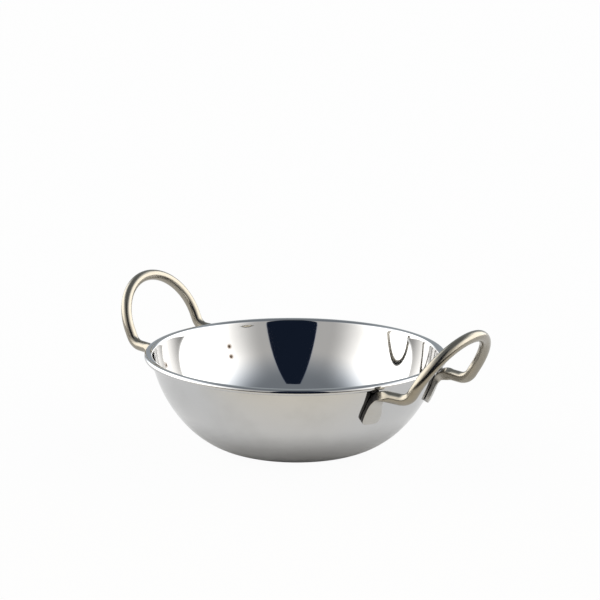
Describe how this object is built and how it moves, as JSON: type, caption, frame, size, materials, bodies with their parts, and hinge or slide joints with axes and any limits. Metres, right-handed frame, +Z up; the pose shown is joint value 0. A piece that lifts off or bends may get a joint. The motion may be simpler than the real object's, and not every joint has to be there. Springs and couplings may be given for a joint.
{
  "type": "balti dish",
  "caption": "Round polished steel serving bowl with a rolled lip, a flat base and a pair of bent-rod loop handles spot-welded to its wall.",
  "frame": {"origin": "middle of the flat base, on the table", "axes": "+Z up through the bowl, +X along the line through both handles, towards the handle that leans further out"},
  "size_m": [0.2049, 0.15, 0.075],
  "materials": {
    "bowl_steel": "mirror polished stainless sheet",
    "handle_steel": "drawn rod, satin bright with a warm tone",
    "weld_metal": "fused spot weld, dull"
  },
  "bodies": {
    "root": {"bowl": "bowl_steel", "right_handle": "handle_steel", "left_handle": "handle_steel", "right_front_upper_weld": "weld_metal", "right_front_lower_weld": "weld_metal", "right_back_upper_weld": "weld_metal", "right_back_lower_weld": "weld_metal", "left_front_upper_weld": "weld_metal", "left_front_lower_weld": "weld_metal", "left_back_upper_weld": "weld_metal", "left_back_lower_weld": "weld_metal"}
  },
  "joints": []
}
